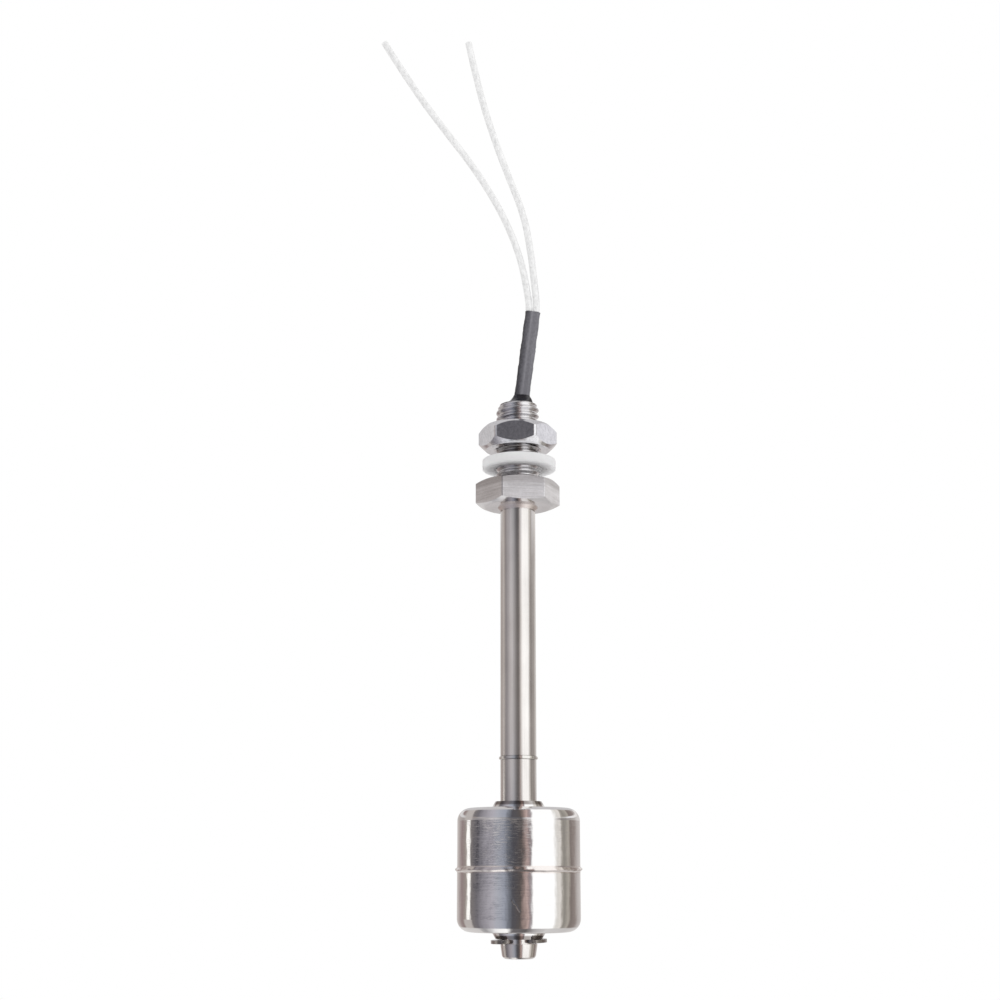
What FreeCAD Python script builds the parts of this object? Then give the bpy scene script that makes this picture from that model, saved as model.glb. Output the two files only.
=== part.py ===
import FreeCAD
import Part
import Sketcher
import math
import os
import re

# A stainless float level switch: a threaded fitting carries a thin stem, and a hollow float with a
# ring magnet slides on the stem between two stops and closes a reed switch sealed inside it.
# Millimetres. The origin is the centre of the hex shoulder's upper, sealing face, and +Z runs up
# through the threaded neck towards the wires. The front of the switch faces -Y.

SIZES = [
    ("shoulder_flats", 17.0, "hex shoulder, across flats"),
    ("shoulder_thick", 5.9, "hex shoulder, thickness"),
    ("shoulder_turn", 8.0, "hex shoulder, turn about the stem, degrees"),
    ("shoulder_upper_reach", 0.2, "hex shoulder, how far its upper chamfer comes inside the flats"),
    ("shoulder_lower_reach", 0.8, "hex shoulder, how far its lower chamfer comes inside the flats"),
    ("shoulder_chamfer_slope", 22.0, "hex shoulder, slope of its corner chamfers, degrees"),
    ("neck_diameter", 9.9, "threaded neck, over the crests"),
    ("neck_length", 18.55, "threaded neck, above the sealing face"),
    ("neck_chamfer", 0.8, "threaded neck, chamfer at its end"),
    ("neck_bore", 5.6, "threaded neck, bore for the wires"),
    ("socket_depth", 4.0, "socket for the stem in the shoulder, depth"),
    ("fixed_gap", 0.01, "gap between a fixed round piece and its seat, on the radius"),
    ("stem_diameter", 8.0, "stem tube, outside"),
    ("stem_wall", 0.8, "stem tube, wall"),
    ("stem_reach", 100.0, "from the shoulder's underside to the tip"),
    ("weld_width", 0.6, "weld fillet under the shoulder, width"),
    ("weld_height", 0.8, "weld fillet under the shoulder, height"),
    ("end_plug_length", 7.5, "end plug, from the tube's end to the tip"),
    ("spigot_length", 6.0, "end plug, length of its spigot inside the tube"),
    ("tip_taper_length", 2.8, "end plug, length of its tapered tip"),
    ("tip_radius", 3.6, "end plug, radius at the end of the taper"),
    ("tip_rounding", 1.0, "end plug, rounding of its end"),
    ("ring_drop", 57.0, "from the shoulder's underside to the upper stop ring"),
    ("ring_wire", 0.8, "upper stop ring, wire diameter"),
    ("ring_groove_depth", 0.47, "groove for the upper stop ring, depth"),
    ("ring_groove_width", 0.9, "groove for the upper stop ring, width"),
    ("ring_sweep", 342.0, "upper stop ring, how far round it goes, degrees"),
    ("clip_height", 3.68, "from the tip to the middle of the lower clip"),
    ("clip_diameter", 12.2, "lower clip, outside"),
    ("clip_thick", 0.7, "lower clip, thickness"),
    ("clip_tilt", 1.6, "lower clip, tilt in its groove, degrees"),
    ("clip_mouth", 72.0, "lower clip, width of its mouth, degrees"),
    ("clip_relief_radius", 4.7, "lower clip, radius of the reliefs between its lugs"),
    ("clip_relief_sweep", 74.0, "lower clip, width of each relief, degrees"),
    ("clip_groove_diameter", 6.0, "groove for the lower clip, diameter at its floor"),
    ("clip_groove_width", 1.0, "groove for the lower clip, width"),
    ("gasket_diameter", 17.0, "gasket, outside"),
    ("gasket_bore", 11.0, "gasket, bore"),
    ("gasket_thick", 2.25, "gasket, thickness"),
    ("gasket_height", 4.15, "gasket, height of its middle on the neck"),
    ("gasket_shift", 0.3, "gasket, how far it hangs to the right of the neck's axis"),
    ("gasket_tilt", 1.0, "gasket, tilt with the front edge up, degrees"),
    ("gasket_rounding", 0.3, "gasket, rounding of its outer edges"),
    ("nut_flats", 16.0, "lock nut, across flats"),
    ("nut_thick", 5.6, "lock nut, thickness"),
    ("nut_height", 7.7, "lock nut, height of its underside on the neck"),
    ("nut_turn", -4.5, "lock nut, turn about the neck, degrees"),
    ("nut_chamfer_reach", 0.55, "lock nut, how far its corner chamfer comes inside the flats"),
    ("nut_chamfer_slope", 43.0, "lock nut, slope of its corner chamfers, degrees"),
    ("nut_running_gap", 0.06, "gap between the nut and the neck, on the radius"),
    ("nut_countersink", 0.45, "lock nut, countersink at each end of its bore"),
    ("potting_depth", 7.0, "potting plug, depth below the end of the neck"),
    ("potting_rise", 1.6, "potting plug, rise of its dome above the end of the neck"),
    ("potting_spread", 3.4, "potting plug, radius of its dome on the end of the neck"),
    ("splice_depth", 4.05, "where wires meet inner leads, depth below the end of the neck"),
    ("wire_diameter", 1.6, "insulated wire, outside"),
    ("wire_spacing", 1.62, "pair of wires, from axis to axis"),
    ("wire_middle", 0.5, "pair of wires, sideways place of its middle in the potting"),
    ("sleeve_wall", 0.12, "heat-shrink sleeve, wall"),
    ("sleeve_ease", 0.05, "heat-shrink sleeve, gap to the wires"),
    ("sleeve_length", 21.4, "heat-shrink sleeve, length"),
    ("sleeve_rise", 1.65, "heat-shrink sleeve, height of its foot above the end of the neck"),
    ("reed_drop", 70.5, "from the shoulder's underside to the middle of the reed switch"),
    ("reed_length", 14.0, "reed switch, length of its glass"),
    ("reed_diameter", 2.2, "reed switch, diameter of its glass"),
    ("reed_wall", 0.3, "reed switch, wall of its glass"),
    ("reed_seal", 2.0, "reed switch, length of the glass seal at each end"),
    ("reed_lead_diameter", 0.5, "reed switch, lead diameter"),
    ("reed_lead_length", 8.0, "reed switch, lead beyond the glass"),
    ("blade_width", 1.0, "reed blade, width"),
    ("blade_thick", 0.22, "reed blade, thickness"),
    ("blade_overlap", 1.4, "reed blades, overlap"),
    ("blade_gap", 0.12, "reed blades, gap where they overlap"),
    ("insulation_wall", 0.25, "insulating tube over the reed switch, wall"),
    ("insulation_gap", 0.04, "insulating tube over the reed switch, gap to the glass"),
    ("insulation_inset", 0.5, "insulating tube over the reed switch, from each of its ends to the glass's"),
    ("lead_diameter", 1.0, "inner lead, outside"),
    ("splice_wall", 0.2, "splice tube, wall"),
    ("splice_ease", 0.03, "splice tube, gap to what it holds"),
    ("splice_length", 4.0, "splice tube, length"),
    ("float_diameter", 27.0, "float, outside"),
    ("float_height", 26.4, "float, height without its collars"),
    ("float_wall", 0.3, "float, wall of the drawn shells"),
    ("float_rounding", 2.8, "float, outer rounding of its ends"),
    ("float_rest_gap", 0.17, "gap between the float and the middle of the clip's upper face at rest"),
    ("collar_height", 1.45, "collar at each end of the float, height"),
    ("collar_base_diameter", 11.9, "collar at each end of the float, diameter at its base"),
    ("collar_rim_diameter", 10.2, "collar at each end of the float, diameter at its rim"),
    ("collar_blend", 0.5, "blend between a collar and the float's end"),
    ("seam_width", 1.75, "weld bead round the float, width"),
    ("seam_rise", 0.5, "weld bead round the float, height above the shells"),
    ("seam_root", 0.2, "weld bead round the float, depth between the shells"),
    ("guide_bore", 8.2, "float's centre tube, inside"),
    ("guide_wall", 0.25, "float's centre tube, wall"),
    ("magnet_bore", 10.4, "ring magnet, inside"),
    ("magnet_diameter", 15.0, "ring magnet, outside"),
    ("magnet_height", 5.0, "ring magnet, height"),
    ("holder_gap", 0.15, "gap between the magnet holder and the float's centre tube, on the radius"),
    ("holder_flange", 1.2, "magnet holder, thickness of its flange"),
    ("retainer_thick", 1.0, "magnet retainer, thickness"),
]

# The wires' routes, x, y and z, from the potting to their bare ends.
LEFT_ROUTE = [
    (-0.31, 0.0, 17.0),
    (0.17, 0.0, 21.0),
    (1.13, 0.0, 28.0),
    (2.11, 0.0, 36.0),
    (2.95, 0.0, 42.3),
    (2.30, 0.1, 47.0),
    (1.15, 0.3, 53.7),
    (-1.30, 0.5, 61.4),
    (-5.10, 0.7, 69.7),
    (-10.60, 0.9, 79.0),
    (-17.10, 1.0, 87.9),
    (-25.20, 1.1, 99.4),
    (-32.60, 1.1, 111.9),
]
RIGHT_ROUTE = [
    (1.31, 0.0, 17.0),
    (1.81, 0.0, 21.0),
    (2.77, 0.0, 28.0),
    (3.75, 0.0, 36.0),
    (4.66, 0.0, 42.9),
    (4.15, 0.0, 48.0),
    (3.20, 0.1, 57.0),
    (1.60, 0.2, 66.3),
    (-1.90, 0.3, 75.7),
    (-5.40, 0.4, 85.5),
    (-9.25, 0.4, 98.6),
    (-11.85, 0.4, 111.5),
]
SLEEVE_RUNS = 3  # the runs of each route that the sleeve lies along

FULL_TURN = 360.0
SIDES = 6
BEND_SHARE = 0.45  # of the shorter run beside a bend
CLOSE = 1e-6
SAME_RIM = 1e-3
SAME_VOLUME = 1e-3  # as a share

STEM_RADIUS = "(stem_diameter / 2)"
NECK_RADIUS = "(neck_diameter / 2)"
TIP = "(-shoulder_thick - stem_reach)"
TUBE_END = f"({TIP} + end_plug_length)"
RING_PLACE = "(-shoulder_thick - ring_drop)"
CLIP_PLACE = f"({TIP} + clip_height)"
FLOAT_FOOT = f"({CLIP_PLACE} + clip_thick / 2 + float_rest_gap)"
SEAM_PLACE = f"({FLOAT_FOOT} + collar_height + float_height / 2)"
SPLICE_PLACE = "(neck_length - splice_depth)"
REED_PLACE = "(-shoulder_thick - reed_drop)"
LEFT_PLACE = "(wire_middle - wire_spacing / 2)"
RIGHT_PLACE = "(wire_middle + wire_spacing / 2)"
GUIDE_RADIUS = "(guide_bore / 2 + guide_wall)"

doc = FreeCAD.newDocument("float_level_switch")
parts = []


# ---- the sheet and what is bound to it ----


def make_sheet():
    """The driving sizes, one row each: what it is, and the number under its name."""
    sheet = doc.addObject("Spreadsheet::Sheet", "sizes")
    for row, (name, number, note) in enumerate(SIZES, start=1):
        sheet.set(f"A{row}", note)
        sheet.set(f"B{row}", str(number))
        sheet.setAlias(f"B{row}", name)
    doc.recompute()
    return sheet


sheet = make_sheet()
NAMES = {name for name, number, note in SIZES}


def formula(text):
    """An expression in which each size's name points at the sheet."""
    return re.sub(r"[a-z_]+", lambda found: f"sizes.{found[0]}" if found[0] in NAMES else found[0], text)


def size(text):
    """The number that an expression has now."""
    return float(sheet.evalExpression(formula(text)))


def bind(thing, **expressions):
    """Binds properties of an object to expressions of the sheet."""
    for name, text in expressions.items():
        thing.setExpression(name.replace("__", "."), formula(text))


def keep(piece, label):
    """Names a finished sub-part and lists it for export."""
    piece.Label = label
    parts.append(piece)
    return piece


# ---- sketches ----


def origin_plane(body, role):
    return next(feature for feature in body.Origin.OriginFeatures if feature.Role == role)


def new_sketch(body, name, role, height=None):
    """An empty sketch on one of the body's own planes, raised by an expression if one is given."""
    sketch = body.newObject("Sketcher::SketchObject", name)
    sketch.AttachmentSupport = (origin_plane(body, role), [""])
    sketch.MapMode = "FlatFace"
    if height is not None:
        bind(sketch, AttachmentOffset__Base__z=height)
    return sketch


def measure(sketch, kind, places, text):
    """Adds a dimension that follows an expression."""
    index = sketch.addConstraint(Sketcher.Constraint(kind, *places, size(text)))
    sketch.setExpression(f"Constraints[{index}]", formula(text))


def arc_between(first, last, radius, turn):
    """The shorter arc from first to last, turning left for +1 and right for -1."""
    chord = last - first
    across = FreeCAD.Vector(-chord.y, chord.x, 0).normalize()
    offset = math.sqrt(max(radius**2 - (chord.Length / 2) ** 2, 0.0))
    centre = (first + last) / 2 + across * offset * turn
    start, end = (first, last) if turn > 0 else (last, first)
    angles = [math.atan2(point.y - centre.y, point.x - centre.x) for point in (start, end)]
    circle = Part.Circle(centre, FreeCAD.Vector(0, 0, 1), radius)
    return Part.ArcOfCircle(circle, *angles)


def outline(body, name, role, corners, height=None):
    """A closed sketch. A corner is (x, y), or (x, y, radius, turn) where the side after it is an arc."""
    sketch = new_sketch(body, name, role, height)
    points = [FreeCAD.Vector(size(corner[0]), size(corner[1]), 0) for corner in corners]
    ends = []
    for index, corner in enumerate(corners):
        following = points[(index + 1) % len(points)]
        if len(corner) == 2:
            side = Part.LineSegment(points[index], following)
            ends.append((1, 2))
        else:
            side = arc_between(points[index], following, size(corner[2]), corner[3])
            ends.append((1, 2) if corner[3] > 0 else (2, 1))
        sketch.addGeometry(side)
    for index, corner in enumerate(corners):
        after = (index + 1) % len(corners)
        sketch.addConstraint(
            Sketcher.Constraint("Coincident", index, ends[index][1], after, ends[after][0])
        )
        measure(sketch, "DistanceX", (-1, 1, index, ends[index][0]), corner[0])
        measure(sketch, "DistanceY", (-1, 1, index, ends[index][0]), corner[1])
        if len(corner) > 2:
            measure(sketch, "Radius", (index,), corner[2])
    return sketch


def rounds(body, name, role, circles, height=None):
    """A sketch of circles, each an (x, y, radius)."""
    sketch = new_sketch(body, name, role, height)
    for index, (x, y, radius) in enumerate(circles):
        centre = FreeCAD.Vector(size(x), size(y), 0)
        sketch.addGeometry(Part.Circle(centre, FreeCAD.Vector(0, 0, 1), size(radius)))
        measure(sketch, "DistanceX", (-1, 1, index, 3), x)
        measure(sketch, "DistanceY", (-1, 1, index, 3), y)
        measure(sketch, "Radius", (index,), radius)
    return sketch


def hexagon(body, name, flats, turn):
    """A hexagon with one flat to the front, turned about the stem."""
    corners = []
    for side in range(SIDES):
        bearing = f"(({side} * 60 + {turn}) * 1 deg)"
        corners.append((f"{flats} / sqrt(3) * cos{bearing}", f"{flats} / sqrt(3) * sin{bearing}"))
    return outline(body, name, "XY_Plane", corners)


# ---- features ----


def new_body(name):
    return doc.addObject("PartDesign::Body", name)


def feature(body, kind, name, sketch):
    """A feature made from a sketch."""
    made = body.newObject(f"PartDesign::{kind}", name)
    made.Profile = sketch
    sketch.Visibility = False
    return made


def pad(body, name, sketch, length, down=False):
    made = feature(body, "Pad", name, sketch)
    made.Reversed = down
    bind(made, Length=length)
    doc.recompute()
    return made


def revolve(body, name, sketch):
    made = feature(body, "Revolution", name, sketch)
    made.ReferenceAxis = (sketch, ["V_Axis"])
    made.Angle = FULL_TURN
    doc.recompute()
    return made


def cut(body, kind, name, sketch, **settings):
    """A Groove or Pocket, which has to take something away."""
    before = body.Shape.Volume
    made = feature(body, kind, name, sketch)
    if kind == "Groove":
        made.ReferenceAxis = (sketch, ["V_Axis"])
        made.Angle = FULL_TURN
    for key, setting in settings.items():
        setattr(made, key, setting)
    doc.recompute()
    if body.Shape.Volume > before - CLOSE:
        raise RuntimeError(f"{body.Name}: {name} cuts nothing")
    return made


def soften(body, kind, name, base, rims, amount):
    """A Fillet or Chamfer on the circular edges of a feature, each rim a (radius, height)."""
    wanted = [(size(radius), size(height)) for radius, height in rims]
    edges = []
    for number, edge in enumerate(base.Shape.Edges, start=1):
        if not isinstance(edge.Curve, Part.Circle):
            continue
        here = (edge.Curve.Radius, edge.Curve.Center.z)
        if any(math.dist(here, rim) < SAME_RIM for rim in wanted):
            edges.append(f"Edge{number}")
    if len(edges) != len(wanted):
        raise RuntimeError(f"{body.Name}: {name} found {len(edges)} of {len(wanted)} edges")
    made = body.newObject(f"PartDesign::{kind}", name)
    made.Base = (base, edges)
    bind(made, **{"Radius" if kind == "Fillet" else "Size": amount})
    doc.recompute()
    return made


def turned(name, corners):
    """A body turned about the stem's axis from a profile of radius and height."""
    body = new_body(name)
    sketch = outline(body, f"{name}_profile", "XZ_Plane", corners)
    made = revolve(body, f"{name}_turning", sketch)
    return body, made


def tube_profile(inner, outer, low, high):
    return [(inner, low), (outer, low), (outer, high), (inner, high)]


def chamfer_corners(body, name, low, high, low_reach, high_reach):
    """Takes a hexagon's corners off at both faces, each with a cone that reaches inside the flats."""
    corner = f"({name}_flats / sqrt(3))"
    ends = {"upper": (high, "-", high_reach), "lower": (low, "+", low_reach)}
    for end, (face, inwards, reach) in ends.items():
        flat = f"({name}_flats / 2 - {reach})"
        drop = f"(({corner} - {flat}) * tan({name}_chamfer_slope * 1 deg))"
        profile = [
            (flat, face),
            (f"{corner} + {reach}", face),
            (f"{corner} + {reach}", f"{face} {inwards} {drop}"),
            (corner, f"{face} {inwards} {drop}"),
        ]
        sketch = outline(body, f"{name}_{end}_corners", "XZ_Plane", profile)
        cut(body, "Groove", f"{name}_{end}_corner_chamfer", sketch)


def place(piece, height="0", sideways="0"):
    """Puts a sub-part at a height on the axis, or beside it."""
    bind(piece, Placement__Base__x=sideways, Placement__Base__z=height)


def tilt(piece, axis, angle):
    """Tilts a placed sub-part about its own origin."""
    turn = FreeCAD.Rotation(axis, size(angle))
    piece.Placement = FreeCAD.Placement(piece.Placement.Base, turn)
    bind(piece, Placement__Rotation__Angle=f"{angle} * 1 deg")


# ---- the fitting, the stem and its stops ----


def threaded_fitting():
    """The hex shoulder, and the neck that goes up through the tank's wall, bored for the wires."""
    body = new_body("threaded_fitting")
    hexagon_sketch = hexagon(body, "shoulder_hexagon", "shoulder_flats", "shoulder_turn")
    pad(body, "shoulder", hexagon_sketch, "shoulder_thick", down=True)
    chamfer_corners(
        body, "shoulder", "-shoulder_thick", "0", "shoulder_lower_reach", "shoulder_upper_reach"
    )
    neck_sketch = rounds(body, "neck_circle", "XY_Plane", [("0", "0", NECK_RADIUS)])
    neck = pad(body, "neck", neck_sketch, "neck_length")
    soften(body, "Chamfer", "neck_lead_in", neck, [(NECK_RADIUS, "neck_length")], "neck_chamfer")
    socket = f"({STEM_RADIUS} + fixed_gap)"
    socket_top = "(socket_depth - shoulder_thick)"
    through = [
        ("0", "-shoulder_thick"),
        (socket, "-shoulder_thick"),
        (socket, socket_top),
        ("neck_bore / 2", socket_top),
        ("neck_bore / 2", "neck_length"),
        ("0", "neck_length"),
    ]
    cut(body, "Groove", "bore", outline(body, "bore_profile", "XZ_Plane", through))
    return keep(body, "threaded_fitting")


def stem_tube():
    """The tube from the shoulder's socket to the end plug, with a groove for the upper stop ring."""
    inner = f"({STEM_RADIUS} - stem_wall)"
    top = "(socket_depth - shoulder_thick - fixed_gap)"
    body, tube = turned("stem_tube", tube_profile(inner, STEM_RADIUS, TUBE_END, top))
    groove = tube_profile(
        f"({STEM_RADIUS} - ring_groove_depth)",
        f"({STEM_RADIUS} + ring_groove_depth)",
        f"({RING_PLACE} - ring_groove_width / 2)",
        f"({RING_PLACE} + ring_groove_width / 2)",
    )
    cut(body, "Groove", "ring_groove", outline(body, "ring_groove_profile", "XZ_Plane", groove))
    return keep(body, "stem_tube")


def stem_weld():
    """The weld fillet between the shoulder's underside and the stem."""
    inner = f"({STEM_RADIUS} + fixed_gap)"
    top = "(-shoulder_thick)"
    profile = [(inner, f"{top} - weld_height"), (f"{inner} + weld_width", top), (inner, top)]
    body, fillet = turned("weld_fillet", profile)
    return keep(body, "stem_weld")


def stem_end_plug():
    """The solid end of the stem: a spigot inside the tube, the clip's groove and a rounded tip."""
    spigot = f"({STEM_RADIUS} - stem_wall - fixed_gap)"
    floor = "(clip_groove_diameter / 2)"
    groove_top = f"({CLIP_PLACE} + clip_groove_width / 2)"
    groove_foot = f"({CLIP_PLACE} - clip_groove_width / 2)"
    profile = [
        ("0", f"{TUBE_END} + spigot_length"),
        ("0", TIP),
        ("tip_radius", TIP),
        (STEM_RADIUS, f"{TIP} + tip_taper_length"),
        (STEM_RADIUS, groove_foot),
        (floor, groove_foot),
        (floor, groove_top),
        (STEM_RADIUS, groove_top),
        (STEM_RADIUS, TUBE_END),
        (spigot, TUBE_END),
        (spigot, f"{TUBE_END} + spigot_length"),
    ]
    body, plug = turned("stem_end_plug", profile)
    soften(body, "Fillet", "tip_round", plug, [("tip_radius", TIP)], "tip_rounding")
    return keep(body, "stem_end_plug")


def upper_stop_ring():
    """A round-wire snap ring in the stem's groove, its gap at the back."""
    body = new_body("upper_stop_ring")
    centre = f"({STEM_RADIUS} - ring_groove_depth + ring_wire / 2)"
    sketch = rounds(body, "wire_section", "YZ_Plane", [(f"-{centre}", "0", "ring_wire / 2")])
    ring = feature(body, "Revolution", "ring_bend", sketch)
    ring.ReferenceAxis = (sketch, ["V_Axis"])
    ring.Midplane = True
    bind(ring, Angle="ring_sweep")
    place(body, RING_PLACE)
    return keep(body, "upper_stop_ring")


def sector(name, radius, sweep, bearing):
    """A piece of a disc as thick as the clip, centred on a bearing about the clip's axis."""
    made = doc.addObject("Part::Cylinder", name)
    bind(made, Radius=radius, Height="clip_thick", Angle=sweep)
    bind(made, Placement__Rotation__Angle=f"({bearing} - {sweep} / 2) * 1 deg")
    bind(made, Placement__Base__z="-clip_thick / 2")
    return made


def lower_stop_clip():
    """An E-shaped clip: a ring open at the front, with three lugs that grip the groove."""
    grip = "(clip_groove_diameter / 2 + fixed_gap)"
    front = FULL_TURN * 3 / 4
    disc = sector("clip_disc", "clip_diameter / 2", f"{FULL_TURN}", "180")
    tools = [
        sector("clip_grip", grip, f"{FULL_TURN}", "180"),
        sector("clip_mouth_cut", "clip_diameter", "clip_mouth", f"{front}"),
        sector("clip_relief_right", "clip_relief_radius", "clip_relief_sweep", "22"),
        sector("clip_relief_left", "clip_relief_radius", "clip_relief_sweep", "158"),
    ]
    removed = doc.addObject("Part::MultiFuse", "clip_openings")
    removed.Shapes = tools
    clip = doc.addObject("Part::Cut", "clip")
    clip.Base = disc
    clip.Tool = removed
    place(clip, CLIP_PLACE)
    tilt(clip, FreeCAD.Vector(0, -1, 0), "clip_tilt")
    return keep(clip, "lower_stop_clip")


# ---- what sits on the neck ----


def gasket():
    """A flat sealing ring that hangs on the thread, its front edge up."""
    inner = "(gasket_bore / 2)"
    outer = "(gasket_diameter / 2)"
    low = "(-gasket_thick / 2)"
    high = "(gasket_thick / 2)"
    body, ring = turned("gasket_ring", tube_profile(inner, outer, low, high))
    soften(body, "Fillet", "gasket_edges", ring, [(outer, low), (outer, high)], "gasket_rounding")
    place(body, "gasket_height", "gasket_shift")
    tilt(body, FreeCAD.Vector(-1, 0, 0), "gasket_tilt")
    return keep(body, "gasket")


def lock_nut():
    """A thin hexagon nut, chamfered on both faces."""
    body = new_body("lock_nut_hexagon")
    hexagon_sketch = hexagon(body, "nut_outline", "nut_flats", "nut_turn")
    pad(body, "nut_blank", hexagon_sketch, "nut_thick")
    chamfer_corners(body, "nut", "0", "nut_thick", "nut_chamfer_reach", "nut_chamfer_reach")
    bore = f"({NECK_RADIUS} + nut_running_gap)"
    profile = [
        ("0", "0"),
        (f"{bore} + nut_countersink", "0"),
        (bore, "nut_countersink"),
        (bore, "nut_thick - nut_countersink"),
        (f"{bore} + nut_countersink", "nut_thick"),
        ("0", "nut_thick"),
    ]
    cut(body, "Groove", "nut_bore", outline(body, "nut_bore_profile", "XZ_Plane", profile))
    place(body, "nut_height")
    return keep(body, "lock_nut")


# ---- the wires and what seals them ----


def bend_radius(before, corner, after):
    """The largest arc that both runs beside a corner allow."""
    into = corner - before
    out = after - corner
    turn = into.getAngle(out)
    return BEND_SHARE * min(into.Length, out.Length) / math.tan(turn / 2)


def bent_path(points):
    """Straight runs joined by tangent arcs, and the arcs' radii."""
    edges = []
    radii = []
    start = points[0]
    for before, corner, after in zip(points, points[1:], points[2:]):
        into = (corner - before).normalize()
        out = (after - corner).normalize()
        radius = bend_radius(before, corner, after)
        turn = into.getAngle(out)
        reach = radius * math.tan(turn / 2)
        first = corner - into * reach
        last = corner + out * reach
        inward = (out - into).normalize()
        middle = corner + inward * radius * (1 / math.cos(turn / 2) - 1)
        edges.append(Part.LineSegment(start, first).toShape())
        edges.append(Part.Arc(first, middle, last).toShape())
        radii.append(radius)
        start = last
    edges.append(Part.LineSegment(start, points[-1]).toShape())
    return Part.Wire(edges), radii


def round_bar(points, diameter):
    """A round bar along a bent path, with its length and radii."""
    path, radii = bent_path(points)
    direction = points[1] - points[0]
    section = Part.Wire(Part.makeCircle(diameter / 2, points[0], direction))
    solid = path.makePipeShell([section], True, False)
    wanted = path.Length * math.pi * (diameter / 2) ** 2
    if abs(solid.Volume / wanted - 1) > SAME_VOLUME:
        raise RuntimeError("a bar's volume isn't its section times its length")
    return solid, path.Length, radii


def wire(label, start, route):
    """An insulated wire, from the splice in the potting to its bare end."""
    points = [FreeCAD.Vector(size(start), 0, size(SPLICE_PLACE))]
    points += [FreeCAD.Vector(*point) for point in route]
    solid, length, radii = round_bar(points, size("wire_diameter"))
    print(f"{label}: {length:.1f} mm long, bend radii", [round(radius, 1) for radius in radii])
    made = doc.addObject("Part::Feature", label)
    made.Shape = solid
    made.Placement = FreeCAD.Placement()
    return keep(made, label)


def slot_prism(name, radius, height):
    """A prism with a slot's outline round the two wires: a box between two round bars."""
    ends = []
    for side in ("-", "+"):
        end = doc.addObject("Part::Cylinder", f"{name}_end")
        bind(end, Radius=radius, Height=height)
        bind(end, Placement__Base__x=f"{side}wire_spacing / 2")
        ends.append(end)
    middle = doc.addObject("Part::Box", f"{name}_middle")
    bind(middle, Length="wire_spacing", Width=f"2 * {radius}", Height=height)
    bind(middle, Placement__Base__x="-wire_spacing / 2", Placement__Base__y=f"-{radius}")
    joined = doc.addObject("Part::MultiFuse", name)
    joined.Shapes = [middle] + ends
    joined.Refine = True
    return joined


def heat_shrink_sleeve():
    """The sleeve shrunk round both wires, leaning with them."""
    inner = "(wire_diameter / 2 + sleeve_ease)"
    outer = f"({inner} + sleeve_wall)"
    shell = slot_prism("sleeve_outside", outer, "sleeve_length")
    hollow = slot_prism("sleeve_inside", inner, "sleeve_length")
    sleeve = doc.addObject("Part::Cut", "sleeve")
    sleeve.Base = shell
    sleeve.Tool = hollow
    low = [FreeCAD.Vector(*route[0]) for route in (LEFT_ROUTE, RIGHT_ROUTE)]
    high = [FreeCAD.Vector(*route[SLEEVE_RUNS]) for route in (LEFT_ROUTE, RIGHT_ROUTE)]
    foot = (low[0] + low[1]) / 2
    lean = (high[0] + high[1]) / 2 - foot
    down = (foot.z - size("neck_length + sleeve_rise")) / lean.z
    turn = FreeCAD.Rotation(FreeCAD.Vector(0, 0, 1), lean)
    sleeve.Placement = FreeCAD.Placement(foot - lean * down, turn)
    return keep(sleeve, "heat_shrink_sleeve")


def potting_plug(cores):
    """The resin that closes the neck, domed on top, cast round the wires and the inner leads."""
    rim = "(neck_bore / 2 - fixed_gap)"
    low = "(neck_length - potting_depth)"
    foot = "(neck_length + fixed_gap)"
    peak = "(neck_length + potting_rise)"
    dome = f"((potting_spread ^ 2 + ({peak} - {foot}) ^ 2) / (2 * ({peak} - {foot})))"
    profile = [("0", low), (rim, low), (rim, foot), ("potting_spread", foot, dome, 1), ("0", peak)]
    resin, plug = turned("potting", profile)
    held = doc.addObject("Part::MultiFuse", "potting_cores")
    held.Shapes = cores
    cast = doc.addObject("Part::Cut", "potting_cast")
    cast.Base = resin
    cast.Tool = held
    return keep(cast, "potting_plug")


# ---- the reed switch inside the stem ----

BLADE_FACE = "(blade_gap / 2)"
REED_HALF = "(reed_length / 2)"
BLADE_ROOT = f"({REED_HALF} - reed_seal - blade_thick)"
REED_AXIS = f"({LEFT_PLACE} - (reed_lead_diameter + lead_diameter) / 2)"


def reed_glass():
    """The reed's glass capsule, sealed round a lead at each end."""
    bore = "(reed_lead_diameter / 2 + fixed_gap)"
    outer = "(reed_diameter / 2)"
    inner = f"({outer} - reed_wall)"
    shoulder = f"({REED_HALF} - reed_diameter / 4)"
    cavity = f"({REED_HALF} - reed_seal)"
    neck = "(reed_diameter / 4)"
    profile = [
        (bore, f"-{REED_HALF}"),
        (neck, f"-{REED_HALF}"),
        (outer, f"-{shoulder}"),
        (outer, shoulder),
        (neck, REED_HALF),
        (bore, REED_HALF),
        (bore, cavity),
        (inner, f"{cavity} - reed_wall"),
        (inner, f"-{cavity} + reed_wall"),
        (bore, f"-{cavity}"),
    ]
    body, glass = turned("glass_capsule", profile)
    place(body, REED_PLACE, REED_AXIS)
    return keep(body, "reed_glass")


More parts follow.
